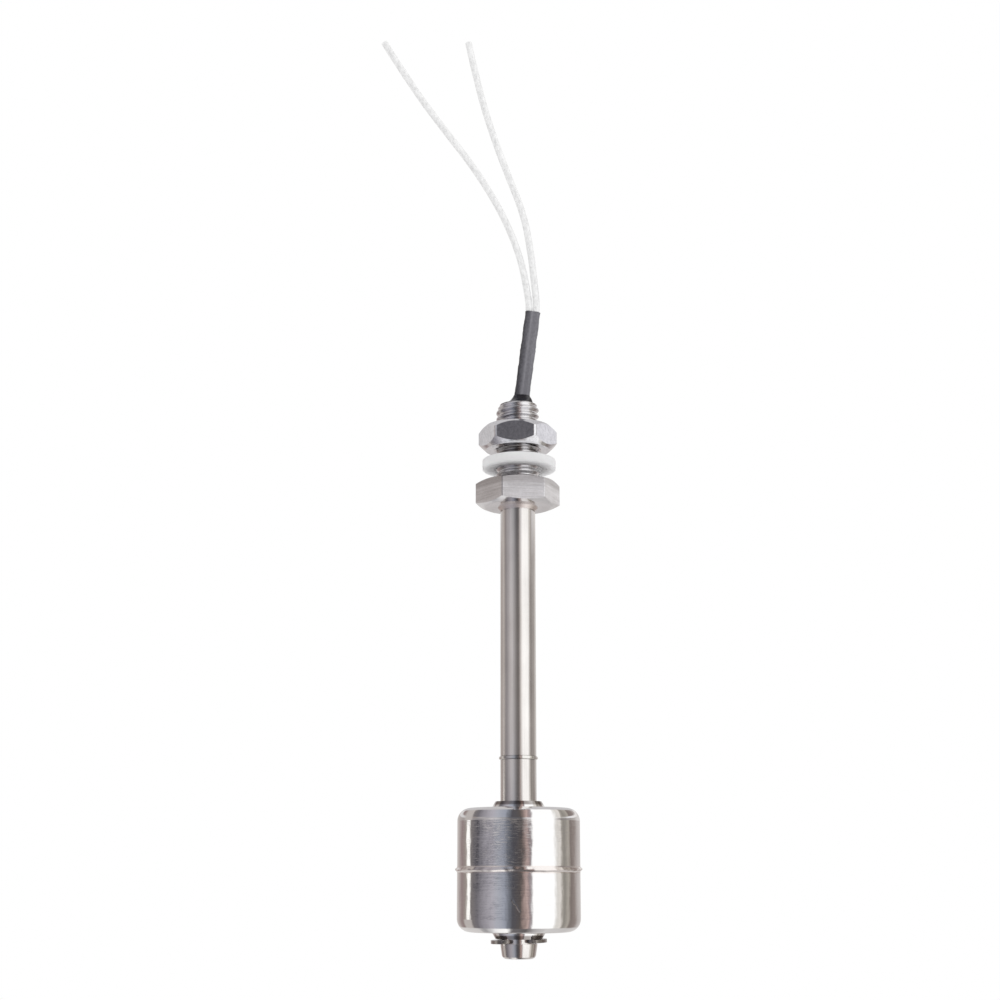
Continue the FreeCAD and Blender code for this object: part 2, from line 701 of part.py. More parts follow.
def reed_blade(label, up):
    """A round lead whose end is flattened to a blade. Its mirror image comes from the other end."""
    sign = "+" if up else "-"
    body = new_body(f"{label}_body")
    lead_sketch = rounds(
        body,
        f"{label}_lead_circle",
        "XY_Plane",
        [("0", "0", "reed_lead_diameter / 2")],
        f"{sign}({BLADE_ROOT} - blade_thick)",
    )
    lead_length = "reed_seal + 2 * blade_thick + reed_lead_length"
    pad(body, f"{label}_lead", lead_sketch, lead_length, down=not up)
    near = BLADE_FACE if up else f"(-{BLADE_FACE} - blade_thick)"
    far = f"({BLADE_FACE} + blade_thick)" if up else f"(-{BLADE_FACE})"
    low = f"(-{sign}(blade_overlap / 2))".replace("+", "")
    high = f"({sign}{BLADE_ROOT})".replace("(+", "(")
    sides = [(near, low), (far, low), (far, high), (near, high)]
    blade_sketch = outline(body, f"{label}_blade_side", "XZ_Plane", sides)
    blade = feature(body, "Pad", f"{label}_blade", blade_sketch)
    blade.Midplane = True
    bind(blade, Length="blade_width")
    place(body, REED_PLACE, REED_AXIS)
    doc.recompute()
    return keep(body, label)


def reed_insulation():
    """The tube that keeps the glass off the steel."""
    inner = "(reed_diameter / 2 + insulation_gap)"
    outer = f"({inner} + insulation_wall)"
    half = f"({REED_HALF} - insulation_inset)"
    body, tube = turned("insulation_tube", tube_profile(inner, outer, f"-{half}", half))
    place(body, REED_PLACE, REED_AXIS)
    return keep(body, "reed_insulation")


def lead(label, points):
    """An inner lead from the potting to the reed switch."""
    made = doc.addObject("Part::Feature", label)
    if len(points) == 2:
        span = points[1] - points[0]
        made.Shape = Part.makeCylinder(size("lead_diameter / 2"), span.Length, points[0], span)
    else:
        made.Shape = round_bar(points, size("lead_diameter"))[0]
    made.Placement = FreeCAD.Placement()
    return keep(made, label)


def inner_leads():
    """A short lead to the reed's upper end, and a long one past the reed to its lower end."""
    left = size(LEFT_PLACE)
    right = size(RIGHT_PLACE)
    top = size(SPLICE_PLACE)
    upper_end = size(f"{REED_PLACE} + {REED_HALF} + reed_lead_length - splice_length")
    lower_end = size(f"{REED_PLACE} - {REED_HALF} - reed_lead_length")
    lower_start = lower_end + size("splice_length + wire_spacing")
    crossing = lower_start + right - left
    upper = lead("lead_upper", [FreeCAD.Vector(left, 0, top), FreeCAD.Vector(left, 0, upper_end)])
    route = [(right, top), (right, crossing), (left, lower_start), (left, lower_end)]
    return [upper, lead("lead_lower", [FreeCAD.Vector(x, 0, z) for x, z in route])]


def splice_tube(label, middle):
    """The little tube over a reed lead and the inner lead soldered beside it."""
    inner = "((reed_lead_diameter + lead_diameter) / 2 + splice_ease)"
    outer = f"({inner} + splice_wall)"
    half = "(splice_length / 2)"
    body, tube = turned(f"{label}_body", tube_profile(inner, outer, f"-{half}", half))
    place(body, middle, f"({REED_AXIS} + lead_diameter / 2)")
    return keep(body, label)


# ---- the float ----


def float_shell(label, up):
    """One drawn half of the float, from the seam to the rim of its collar."""
    sign = "" if up else "-"
    outer = "(float_diameter / 2)"
    inner = f"({outer} - float_wall)"
    end = "(float_height / 2)"
    rim = f"({end} + collar_height)"
    hole = f"({GUIDE_RADIUS} + fixed_gap)"
    base = "(collar_base_diameter / 2)"
    profile = [
        (inner, "seam_width / 2 - seam_root"),
        (outer, "seam_width / 2 - seam_root"),
        (outer, end),
        (base, end),
        ("collar_rim_diameter / 2", rim),
        (hole, rim),
        (hole, f"{rim} - float_wall"),
        (f"{base} - float_wall", f"{end} - float_wall"),
        (inner, f"{end} - float_wall"),
    ]
    profile = [(radius, f"{sign}({height})") for radius, height in profile]
    body, shell = turned(f"{label}_body", profile)
    soften(body, "Fillet", f"{label}_round", shell, [(outer, f"{sign}{end}")], "float_rounding")
    inside = [(inner, f"{sign}({end} - float_wall)")]
    soften(body, "Fillet", f"{label}_inside", body.Tip, inside, "float_rounding - float_wall")
    blend = [(base, f"{sign}{end}")]
    soften(body, "Fillet", f"{label}_blend", body.Tip, blend, "collar_blend")
    place(body, SEAM_PLACE)
    return keep(body, label)


def float_seam_weld():
    """The weld bead between the two shells, proud of them all round."""
    shell = "(float_diameter / 2)"
    half = "(seam_width / 2)"
    root = f"({half} - seam_root)"
    crown = f"(({half} ^ 2 + seam_rise ^ 2) / (2 * seam_rise))"
    profile = [
        (f"{shell} - float_wall", f"-{root}"),
        (shell, f"-{root}"),
        (shell, f"-{half}", crown, 1),
        (shell, half),
        (shell, root),
        (f"{shell} - float_wall", root),
    ]
    body, bead = turned("weld_bead", profile)
    place(body, SEAM_PLACE)
    return keep(body, "float_seam_weld")


def float_centre_tube():
    """The tube through the float, which slides on the stem."""
    half = "(float_height / 2 + collar_height)"
    profile = tube_profile("guide_bore / 2", GUIDE_RADIUS, f"-{half}", half)
    body, tube = turned("centre_tube", profile)
    place(body, SEAM_PLACE)
    return keep(body, "float_centre_tube")


def ring_magnet():
    """The ring magnet round the centre tube."""
    half = "(magnet_height / 2)"
    profile = tube_profile("magnet_bore / 2", "magnet_diameter / 2", f"-{half}", half)
    body, ring = turned("magnet", profile)
    place(body, SEAM_PLACE)
    return keep(body, "ring_magnet")


def magnet_holder():
    """The moulded bush that carries the magnet on its flange."""
    inner = f"({GUIDE_RADIUS} + holder_gap)"
    bush = "(magnet_bore / 2 - fixed_gap)"
    half = "(magnet_height / 2)"
    profile = [
        (inner, f"-{half} - holder_flange"),
        ("magnet_diameter / 2", f"-{half} - holder_flange"),
        ("magnet_diameter / 2", f"-{half}"),
        (bush, f"-{half}"),
        (bush, half),
        (inner, half),
    ]
    body, bush_body = turned("holder_bush", profile)
    place(body, SEAM_PLACE)
    return keep(body, "magnet_holder")


def magnet_retainer():
    """The washer that closes the holder above the magnet."""
    half = "(magnet_height / 2)"
    inner = f"({GUIDE_RADIUS} + holder_gap)"
    profile = tube_profile(inner, "magnet_diameter / 2", half, f"{half} + retainer_thick")
    body, washer = turned("retainer_washer", profile)
    place(body, SEAM_PLACE)
    return keep(body, "magnet_retainer")


# ---- the whole switch ----


def check(objects):
    """Stops on anything that failed to recompute, or a sub-part without one sound solid."""
    for thing in objects:
        if {"Invalid", "Error"} & set(thing.State):
            raise RuntimeError(f"{thing.Name} failed: {thing.State}")
    for piece in parts:
        shape = piece.Shape
        if shape.isNull() or not shape.isValid() or len(shape.Solids) != 1:
            raise RuntimeError(f"{piece.Label} isn't one sound solid")


def build():
    threaded_fitting()
    stem_tube()
    stem_weld()
    stem_end_plug()
    upper_stop_ring()
    lower_stop_clip()
    gasket()
    lock_nut()
    wires = [
        wire("wire_left", LEFT_PLACE, LEFT_ROUTE),
        wire("wire_right", RIGHT_PLACE, RIGHT_ROUTE),
    ]
    heat_shrink_sleeve()
    potting_plug(wires + inner_leads())
    reed_glass()
    reed_blade("reed_blade_upper", up=True)
    reed_blade("reed_blade_lower", up=False)
    reed_insulation()
    reach = f"({REED_HALF} + reed_lead_length - splice_length / 2)"
    splice_tube("splice_tube_upper", f"{REED_PLACE} + {reach}")
    splice_tube("splice_tube_lower", f"{REED_PLACE} - {reach}")
    float_shell("float_upper_shell", up=True)
    float_shell("float_lower_shell", up=False)
    float_seam_weld()
    float_centre_tube()
    ring_magnet()
    magnet_holder()
    magnet_retainer()
    doc.recompute()


build()
check(doc.Objects)
os.makedirs("parts", exist_ok=True)
for piece in parts:
    piece.Shape.exportStep(f"parts/{piece.Label}.step")
    print(f"{piece.Label}: {piece.Shape.Volume:.1f} mm3")
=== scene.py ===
import math
import random

import bmesh
import bpy
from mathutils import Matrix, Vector


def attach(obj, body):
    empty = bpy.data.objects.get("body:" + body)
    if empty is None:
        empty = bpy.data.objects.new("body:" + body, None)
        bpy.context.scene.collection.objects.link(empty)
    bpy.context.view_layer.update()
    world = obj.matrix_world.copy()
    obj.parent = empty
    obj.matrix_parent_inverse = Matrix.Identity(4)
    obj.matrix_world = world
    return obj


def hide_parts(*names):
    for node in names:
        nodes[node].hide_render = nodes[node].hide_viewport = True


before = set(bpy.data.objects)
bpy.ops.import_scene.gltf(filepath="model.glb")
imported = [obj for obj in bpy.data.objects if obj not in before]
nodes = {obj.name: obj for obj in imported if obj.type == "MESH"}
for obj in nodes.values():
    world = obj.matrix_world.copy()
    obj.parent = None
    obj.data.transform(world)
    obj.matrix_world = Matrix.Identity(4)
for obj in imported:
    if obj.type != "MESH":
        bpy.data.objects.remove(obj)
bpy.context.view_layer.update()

MM = 0.001
scene = bpy.context.scene

# ---- the camera ------------------------------------------------------------------------------
# It stands level with the middle of the float and looks up a little, so that the free wires are
# in view. All its places are in millimetres.

EYE_DISTANCE = 365.0
EYE_SIDE = -4.1
EYE_HEIGHT = -87.17
LOOK_UP = 12.83
LENS = 58.5
SENSOR = 36

camera = bpy.data.objects.new("camera", bpy.data.cameras.new("camera"))
scene.collection.objects.link(camera)
scene.camera = camera
camera.location = (EYE_SIDE * MM, -EYE_DISTANCE * MM, EYE_HEIGHT * MM)
camera.rotation_euler = (math.radians(90 + LOOK_UP), 0, 0)
camera.data.lens = LENS
camera.data.sensor_width = SENSOR
camera.data.clip_start = 0.01
scene.view_settings.view_transform = "Standard"

# ---- the light -------------------------------------------------------------------------------
# The switch hangs in even white light before a white backdrop, with two soft lamps. What its
# metal mirrors is a room of soft boxes and dim walls, which is painted here by direction.


class Flow:
    """An output of a shader node. Operators on it add Math nodes, and add() any other node."""

    def __init__(self, tree, socket=None):
        self.tree = tree
        self.socket = socket

    def add(self, kind, settings, sockets, output=0):
        """An output of a new node, which gets its settings first and then its sockets."""
        node = self.tree.nodes.new(kind)
        for name, setting in settings.items():
            if name == "stops":
                first, *others = setting
                node.color_ramp.elements.remove(node.color_ramp.elements[1])
                node.color_ramp.elements[0].position = first[0]
                node.color_ramp.elements[0].color = (*first[1], 1)
                for place, colour in others:
                    node.color_ramp.elements.new(place).color = (*colour, 1)
            else:
                setattr(node, name, setting)
        for name, value in sockets.items():
            socket = node.inputs[name]
            if isinstance(value, Flow):
                self.tree.links.new(value.socket, socket)
            else:
                socket.default_value = value
        return Flow(self.tree, node.outputs[output] if node.outputs else None)

    def math(self, operation, *values):
        return self.add("ShaderNodeMath", {"operation": operation}, dict(enumerate(values)))

    def __add__(self, other):
        return self.math("ADD", self, other)

    def __sub__(self, other):
        return self.math("SUBTRACT", self, other)

    def __rsub__(self, other):
        return self.math("SUBTRACT", other, self)

    def __mul__(self, other):
        return self.math("MULTIPLY", self, other)

    def __truediv__(self, other):
        return self.math("DIVIDE", self, other)

    def __lt__(self, other):
        return self.math("LESS_THAN", self, other)

    __radd__ = __add__
    __rmul__ = __mul__

    def parts(self):
        """The x, y and z of a place or a direction."""
        return [self.add("ShaderNodeSeparateXYZ", {}, {0: self}, part) for part in range(3)]

    def ramp(self, *stops):
        """The look for a number of 0 to 1, from stops of a place and a grey or a colour."""
        stops = [(place, look if isinstance(look, tuple) else (look,) * 3) for place, look in stops]
        return self.add("ShaderNodeValToRGB", {"stops": stops}, {"Fac": self})

    def over(self, low, high, *stops):
        """As ramp(), for a number that runs from low to high, with its stops in the same units."""
        span = high - low
        return ((self - low) / span).ramp(*(((place - low) / span, look) for place, look in stops))

    def mix(self, amount, first, second):
        """Between two colours, by an amount of 0 to 1."""
        looks = [look if isinstance(look, Flow) else (*look, 1) for look in (first, second)]
        sockets = {0: amount, 6: looks[0], 7: looks[1]}
        return self.add("ShaderNodeMix", {"data_type": "RGBA"}, sockets, 2)

    def mixed(self, first, second):
        """Between two colours, by this number."""
        return self.mix(self, first, second)


def tone(red, green, blue):
    """A colour as a screen shows it, of 0 to 255, as the shader takes it."""
    return tuple((max(part, 1) / 255) ** 2.2 for part in (red, green, blue))


# What the metal sees round it, by bearing from the front in degrees clockwise from above: soft
# boxes, dim room, the camera's dark corner, a warm wall and the white backdrop behind. The first
# tone is level with the eye, the second a little higher, and the third higher still.
ROOM = [
    (-180, tone(205, 200, 198), tone(205, 200, 198), tone(208, 206, 206)),
    (-150, tone(176, 168, 165), tone(172, 166, 163), tone(206, 204, 204)),
    (-133, tone(138, 123, 122), tone(160, 152, 150), tone(200, 198, 198)),
    (-119, tone(144, 134, 129), tone(152, 146, 144), tone(196, 195, 197)),
    (-115, tone(165, 158, 152), tone(160, 155, 152), tone(178, 173, 172)),
    (-112, tone(255, 253, 250), tone(170, 166, 164), tone(162, 150, 146)),
    (-105, tone(255, 253, 250), tone(170, 165, 163), tone(146, 134, 131)),
    (-101, tone(118, 113, 112), tone(150, 144, 144), tone(142, 131, 128)),
    (-84, tone(110, 107, 112), tone(140, 136, 138), tone(152, 146, 146)),
    (-74, tone(132, 129, 135), tone(152, 148, 150), tone(168, 164, 165)),
    (-60, tone(156, 153, 160), tone(176, 172, 173), tone(160, 157, 161)),
    (-50, tone(169, 166, 174), tone(196, 192, 193), tone(170, 168, 172)),
    (-40, tone(166, 168, 177), tone(192, 189, 190), tone(167, 167, 171)),
    (-27, tone(150, 154, 166), tone(172, 169, 170), tone(146, 146, 149)),
    (-19, tone(108, 111, 119), tone(146, 142, 141), tone(106, 105, 108)),
    (-11, tone(82, 81, 86), tone(124, 120, 119), tone(95, 94, 99)),
    (3, tone(88, 82, 80), tone(112, 107, 105), tone(90, 88, 90)),
    (8, tone(138, 122, 117), tone(146, 142, 140), tone(165, 161, 161)),
    (14, tone(184, 162, 157), tone(196, 191, 189), tone(212, 212, 214)),
    (18, tone(146, 132, 132), tone(224, 220, 218), tone(218, 218, 221)),
    (22, tone(164, 158, 160), tone(240, 237, 236), tone(222, 221, 224)),
    (25, tone(255, 255, 255), tone(255, 255, 255), tone(255, 255, 255)),
    (68, tone(255, 255, 255), tone(255, 255, 255), tone(255, 255, 255)),
    (75, tone(208, 205, 200), tone(186, 182, 180), tone(212, 210, 207)),
    (82, tone(218, 213, 208), tone(150, 145, 143), tone(214, 210, 207)),
    (86, tone(160, 155, 148), tone(132, 127, 125), tone(176, 172, 168)),
    (92, tone(134, 130, 124), tone(134, 129, 127), tone(180, 177, 176)),
    (103, tone(166, 160, 152), tone(152, 147, 145), tone(218, 217, 220)),
    (113, tone(120, 111, 107), tone(150, 145, 142), tone(222, 221, 224)),
    (126, tone(138, 128, 124), tone(170, 165, 162), tone(224, 222, 222)),
    (140, tone(174, 168, 166), tone(200, 197, 195), tone(220, 217, 215)),
    (180, tone(205, 200, 198), tone(205, 200, 198), tone(208, 206, 206)),
]
# What it sees almost straight down, which is the floor at its feet, by the same bearings.
FLOOR_TONES = [
    (-180, tone(205, 202, 200)),
    (-90, tone(198, 195, 194)),
    (-72, tone(150, 148, 150)),
    (-58, tone(196, 195, 196)),
    (-46, tone(235, 234, 234)),
    (-24, tone(250, 249, 248)),
    (-10, tone(104, 101, 103)),
    (14, tone(98, 94, 94)),
    (30, tone(165, 162, 162)),
    (57, tone(200, 198, 197)),
    (110, tone(190, 187, 186)),
    (180, tone(205, 202, 200)),
]
# Where the second and third tones show, by height, which is 0 level with the eye and 1 overhead.
STEM_BAND = ((0.038, 0.0), (0.05, 1.0), (0.18, 1.0), (0.20, 0.0))
HEAD_BAND = ((0.192, 0.0), (0.208, 1.0), (0.296, 1.0), (0.36, 0.0))
# A smudged dark band just above the eye's level, by height and by bearing, and its left end.
DUSK_BAND = ((-0.008, 0.0), (0.012, 1.0), (0.034, 1.0), (0.05, 0.0))
DUSK_BEARINGS = ((-100, 0.0), (-92, 1.0), (20, 1.0), (26, 0.0))
DUSK_END = ((-89, 0.0), (-86, 1.0), (-83, 1.0), (-79, 0.0))
# A pale corner far to the left, which shows only above and below the eye's level.
LEFT_CORNER = ((-128, 0.0), (-118, 1.0), (-101, 1.0), (-96, 0.0))
SHINE = 1.22  # the metal gives back about this much less than it sees
PLAIN_LIGHT = 0.84  # the even light on everything, apart from what is mirrored

world = bpy.data.worlds.new("studio")
scene.world = world
world.use_nodes = True
world.node_tree.nodes.clear()
studio = Flow(world.node_tree)
direction = studio.add("ShaderNodeTexCoord", {}, {}, 0)
east, north, height = direction.parts()
# The room's upright strips lean in towards the back overhead, so that they meet there. The lean
# is that of the face that mirrors a direction: -1 looks straight down, and 1 straight up.
bearing = studio.math("ARCTAN2", east, 1 - north) * (360 / math.pi)
lean = height / studio.math("SQRT", (1 - north) * 2)


def strips(*stops):
    """The looks of these bearings."""
    return bearing.over(-180, 180, *stops)


eye_level, above, higher = (strips(*((row[0], row[part]) for row in ROOM)) for part in (1, 2, 3))
seen = height.over(-1, 1, *STEM_BAND).mixed(eye_level, above)
seen = height.over(-1, 1, *HEAD_BAND).mixed(seen, higher)
dusk = height.over(-1, 1, *DUSK_BAND) * strips(*DUSK_BEARINGS)
grime = studio.add(
    "ShaderNodeTexNoise", {}, {"Vector": direction, "Scale": 14.0, "Detail": 3.0, "Roughness": 0.6}
)
seen = (dusk * (grime * 0.7 + 0.05)).mixed(seen, tone(34, 38, 52))
seen = (dusk * strips(*DUSK_END) * 0.4).mixed(seen, tone(40, 38, 40))
leaning = studio.math("ABSOLUTE", lean).over(0, 2, (0.03, 0.0), (0.08, 1.0))
seen = (leaning * strips(*LEFT_CORNER)).mixed(seen, tone(178, 172, 169))
overhead = lean.over(-1, 1, (0.73, 0.0), (0.80, 1.0))
below = lean.over(-1, 1, (-0.66, 1.0), (-0.60, 0.0))
straight_below = lean.over(-1, 1, (-0.96, 1.0), (-0.90, 0.0))
seen = overhead.mixed(seen, tone(188, 186, 187))
seen = below.mixed(seen, strips(*FLOOR_TONES))
seen = straight_below.mixed(seen, tone(190, 186, 185))

camera_ray, glossy_ray, transmission_ray = (
    studio.add("ShaderNodeLightPath", {}, {}, ray)
    for ray in ("Is Camera Ray", "Is Glossy Ray", "Is Transmission Ray")
)
mirror_ray = studio.math("MAXIMUM", glossy_ray, transmission_ray)
mirrored = studio.add("ShaderNodeBackground", {}, {"Color": seen, "Strength": SHINE})
plain, white = (
    studio.add("ShaderNodeBackground", {}, {"Color": (1, 1, 1, 1), "Strength": strength})
    for strength in (PLAIN_LIGHT, 1.0)
)
lit = studio.add("ShaderNodeMixShader", {}, {0: mirror_ray, 1: plain, 2: mirrored})
shown = studio.add("ShaderNodeMixShader", {}, {0: camera_ray, 1: lit, 2: white})
studio.add("ShaderNodeOutputWorld", {}, {"Surface": shown})


def soft_lamp(name, side_angle, up_angle, distance, size, power):
    """A square soft box that faces the switch and isn't seen in its reflections."""
    lamp = bpy.data.lights.new(name, "AREA")
    lamp.size = size
    lamp.energy = power
    held = bpy.data.objects.new(name, lamp)
    scene.collection.objects.link(held)
    turn, lift = math.radians(side_angle), math.radians(up_angle)
    away = Vector(
        (math.sin(turn) * math.cos(lift), -math.cos(turn) * math.cos(lift), math.sin(lift))
    )
    held.location = away * distance
    held.rotation_euler = (-away).to_track_quat("-Z", "Y").to_euler()
    held.visible_glossy = False


soft_lamp("lamp_right", side_angle=50, up_angle=35, distance=0.7, size=0.35, power=0.9)
soft_lamp("lamp_left", side_angle=-70, up_angle=20, distance=0.8, size=0.4, power=0.4)

# ---- the floor -------------------------------------------------------------------------------
# A white sheet well below the switch, which keeps its soft shadow. It glows more with distance,
# so that it runs into the backdrop without an edge, and the metal doesn't mirror it. In metres.

FLOOR_HEIGHT = -0.166
FLOOR_REACH = 3.0


def new_material(name):
    """A bare material, and the start of its tree to add nodes to."""
    made = bpy.data.materials.new(name)
    made.use_nodes = True
    made.node_tree.nodes.clear()
    return made, Flow(made.node_tree)


def place_of(start):
    """Where a point is, in metres in the switch's own frame."""
    return start.add("ShaderNodeTexCoord", {}, {}, 3)


corners = [(-1, -1), (1, -1), (1, 1), (-1, 1)]
floor_mesh = bpy.data.meshes.new("floor")
floor_mesh.from_pydata(
    [(x * FLOOR_REACH, y * FLOOR_REACH, FLOOR_HEIGHT) for x, y in corners], [], [(0, 1, 2, 3)]
)
floor = bpy.data.objects.new("floor", floor_mesh)
scene.collection.objects.link(floor)
floor_paint, start = new_material("floor_paint")
floor_mesh.materials.append(floor_paint)
matt = start.add("ShaderNodeBsdfDiffuse", {}, {"Color": (0.9, 0.9, 0.9, 1)})
glow = start.add("ShaderNodeEmission", {}, {"Color": (1, 1, 1, 1), "Strength": 1.0})
distance = start.add("ShaderNodeVectorMath", {"operation": "LENGTH"}, {0: place_of(start)}, 1)
far_out = distance.ramp((0.16, 0.25), (0.5, 1.0))
surface = start.add("ShaderNodeMixShader", {}, {0: far_out, 1: matt, 2: glow})
start.add("ShaderNodeOutputMaterial", {}, {"Surface": surface})
floor.visible_glossy = False

# ---- the two free wires ----------------------------------------------------------------------
# Two stiff single-core wires in pale PVC run side by side out of the neck, up through the sleeve,
# and then part and lean away to the left. Their ends are cut off square and left bare.

WIRE_WIDTH = 1.6
LEFT_ROUTE = [
    (-0.31, 0.0, 14.5),
    (-0.31, 0.0, 17.0),
    (0.17, 0.0, 21.0),
    (1.13, 0.0, 28.0),
    (2.11, 0.0, 36.0),
    (2.95, 0.0, 42.3),
    (2.30, 0.1, 47.0),
    (1.15, 0.3, 53.7),
    (-1.30, 0.5, 61.4),
    (-5.10, 0.7, 69.7),
    (-10.60, 0.9, 79.0),
    (-17.10, 1.0, 87.9),
    (-25.20, 1.1, 99.4),
    (-32.60, 1.1, 111.9),
]
RIGHT_ROUTE = [
    (1.31, 0.0, 14.5),
    (1.31, 0.0, 17.0),
    (1.81, 0.0, 21.0),
    (2.77, 0.0, 28.0),
    (3.75, 0.0, 36.0),
    (4.66, 0.0, 42.9),
    (4.15, 0.0, 48.0),
    (3.20, 0.1, 57.0),
    (1.60, 0.2, 66.3),
    (-1.90, 0.3, 75.7),
    (-5.40, 0.4, 85.5),
    (-9.25, 0.4, 98.6),
    (-11.85, 0.4, 111.5),
]


def cloud(start, scale, stretch=(1, 1, 1), detail=3.0, rough=0.5):
    """Noise of about 0 to 1, its grains about a millimetre across at scale 1."""
    placing = {"Vector": place_of(start), "Scale": tuple(part / MM for part in stretch)}
    spot = start.add("ShaderNodeMapping", {}, placing)
    grains = {"Vector": spot, "Scale": scale, "Detail": detail, "Roughness": rough}
    return start.add("ShaderNodeTexNoise", {}, grains)


def bumped(start, relief, depth):
    """A bump from a relief of 0 to 1 that stands for this depth in millimetres."""
    sockets = {"Height": relief, "Distance": depth * MM, "Strength": 1.0}
    return start.add("ShaderNodeBump", {}, sockets)


def finish_material(start, **sockets):
    """Puts the Principled shader on a material's tree, with these socket values and links."""
    named = {name.replace("_", " "): value for name, value in sockets.items()}
    for name, value in named.items():
        if isinstance(value, tuple) and "Color" in name:
            named[name] = (*value, 1)
    skin = start.add("ShaderNodeBsdfPrincipled", {}, named)
    start.add("ShaderNodeOutputMaterial", {}, {"Surface": skin})


wire_skin, start = new_material("pale_wire_insulation")
mottle = cloud(start, 1.5, (1, 1, 0.6), 4.0, 0.7)
grain = cloud(start, 6.0)
finish_material(
    start,
    Base_Color=mottle.ramp(
        (0.34, tone(218, 218, 218)), (0.5, tone(235, 235, 235)), (0.66, tone(246, 246, 246))
    ),
    Roughness=grain * 0.12 + 0.36,
    Normal=bumped(start, mottle * 0.7 + grain * 0.3, 0.05),
)


def free_wire(name, route, node):
    """A round wire on one smooth curve through its route."""
    curve = bpy.data.curves.new(name, "CURVE")
    curve.dimensions = "3D"
    curve.bevel_depth = WIRE_WIDTH / 2 * MM
    curve.bevel_resolution = 7
    curve.use_fill_caps = True
    curve.resolution_u = 16
    line = curve.splines.new("NURBS")
    line.points.add(len(route) - 1)
    for point, spot in zip(line.points, route):
        point.co = (*(part * MM for part in spot), 1)
    line.order_u = 3
    line.use_endpoint_u = True
    curve.materials.append(wire_skin)
    made = bpy.data.objects.new(name, curve)
    scene.collection.objects.link(made)
    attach(made, "stem_and_fitting")
    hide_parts(node)
    return made


left_wire = free_wire("free_wire_left", LEFT_ROUTE, "wire_left")
right_wire = free_wire("free_wire_right", RIGHT_ROUTE, "wire_right")

# ---- the heat-shrink sleeve ------------------------------------------------------------------
# A short length of grey heat-shrink tube, shrunk tight round both wires so that its section is a
# slot with rounded ends. Its cut ends are plain, and its skin shows the wires as a faint groove.

SLEEVE_FOOT = (0.92, 20.05)
SLEEVE_TOP = (3.67, 41.45)
SLEEVE_HALF_THICK = 0.97
SLEEVE_HALF_SPACING = 0.81
SLEEVE_STEPS = 36
SLEEVE_SIDES = 40
GROOVE = 0.10
UNEVEN = 0.045
WAVE = 0.03
WALL_SHARE = 0.07  # how far the cut ends' wall reaches in towards the middle
TOUCHING = 1e-7  # metres between points that are one
SHARP_EDGE = math.radians(32)


def place_in_mm(start):
    """The x, y and z of a point, in millimetres."""
    return [part / MM for part in place_of(start).parts()]


sleeve_skin, start = new_material("grey_sleeve")
smear = cloud(start, 0.5, (1, 1, 0.12), 3.0, 0.6)
fine = cloud(start, 2.2, (1, 1, 0.7), 3.0, 0.6)
sleeve_lean = (SLEEVE_TOP[0] - SLEEVE_FOOT[0]) / (SLEEVE_TOP[1] - SLEEVE_FOOT[1])
x, _, z = place_in_mm(start)
# Painted shade and highlight: across its width the grey is dark at the left edge, with a lighter
# painted highlight streak just left of the middle.
across = x - SLEEVE_FOOT[0] - (z - SLEEVE_FOOT[1]) * sleeve_lean
painted_side_shade = (across + (smear - 0.5) * 0.48).over(
    -2,
    2,
    (-1.68, tone(40, 39, 43)),
    (-1.20, tone(66, 65, 70)),
    (-0.64, tone(92, 91, 97)),
    (-0.12, tone(134, 133, 139)),
    (0.32, tone(114, 113, 119)),
    (2.0, tone(112, 111, 117)),
)
worn = (smear * 0.4 + fine * 0.6).ramp((0.38, tone(60, 59, 64)), (0.62, tone(140, 139, 145)))
finish_material(
    start,
    Base_Color=start.mix(0.22, painted_side_shade, worn),
    Roughness=fine * 0.15 + 0.38,
    Normal=bumped(start, fine * 0.5 + smear * 0.5, 0.06),
)


def new_piece(name, mesh, body, replaced, skin):
    """Puts a finished bmesh into the scene as a piece of the switch, in place of CAD nodes."""
    bmesh.ops.remove_doubles(mesh, verts=mesh.verts, dist=TOUCHING)
    bmesh.ops.dissolve_degenerate(mesh, edges=mesh.edges, dist=TOUCHING)
    bmesh.ops.recalc_face_normals(mesh, faces=mesh.faces)
    for face in mesh.faces:
        face.smooth = True
    for edge in mesh.edges:
        if len(edge.link_faces) == 2 and edge.calc_face_angle(0) > SHARP_EDGE:
            edge.smooth = False
    data = bpy.data.meshes.new(name)
    mesh.to_mesh(data)
    mesh.free()
    data.materials.append(skin)
    made = bpy.data.objects.new(name, data)
    scene.collection.objects.link(made)
    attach(made, body)
    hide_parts(*replaced)
    return made


def ring_of(columns):
    """A mesh through columns of points in millimetres, each column a closed loop."""
    mesh = bmesh.new()
    rows = [
        [mesh.verts.new([part * MM for part in point]) for point in column] for column in columns
    ]
    for first, second in zip(rows, rows[1:]):
        for place in range(len(first)):
            after = (place + 1) % len(first)
            mesh.faces.new((first[place], second[place], second[after], first[after]))
    return mesh


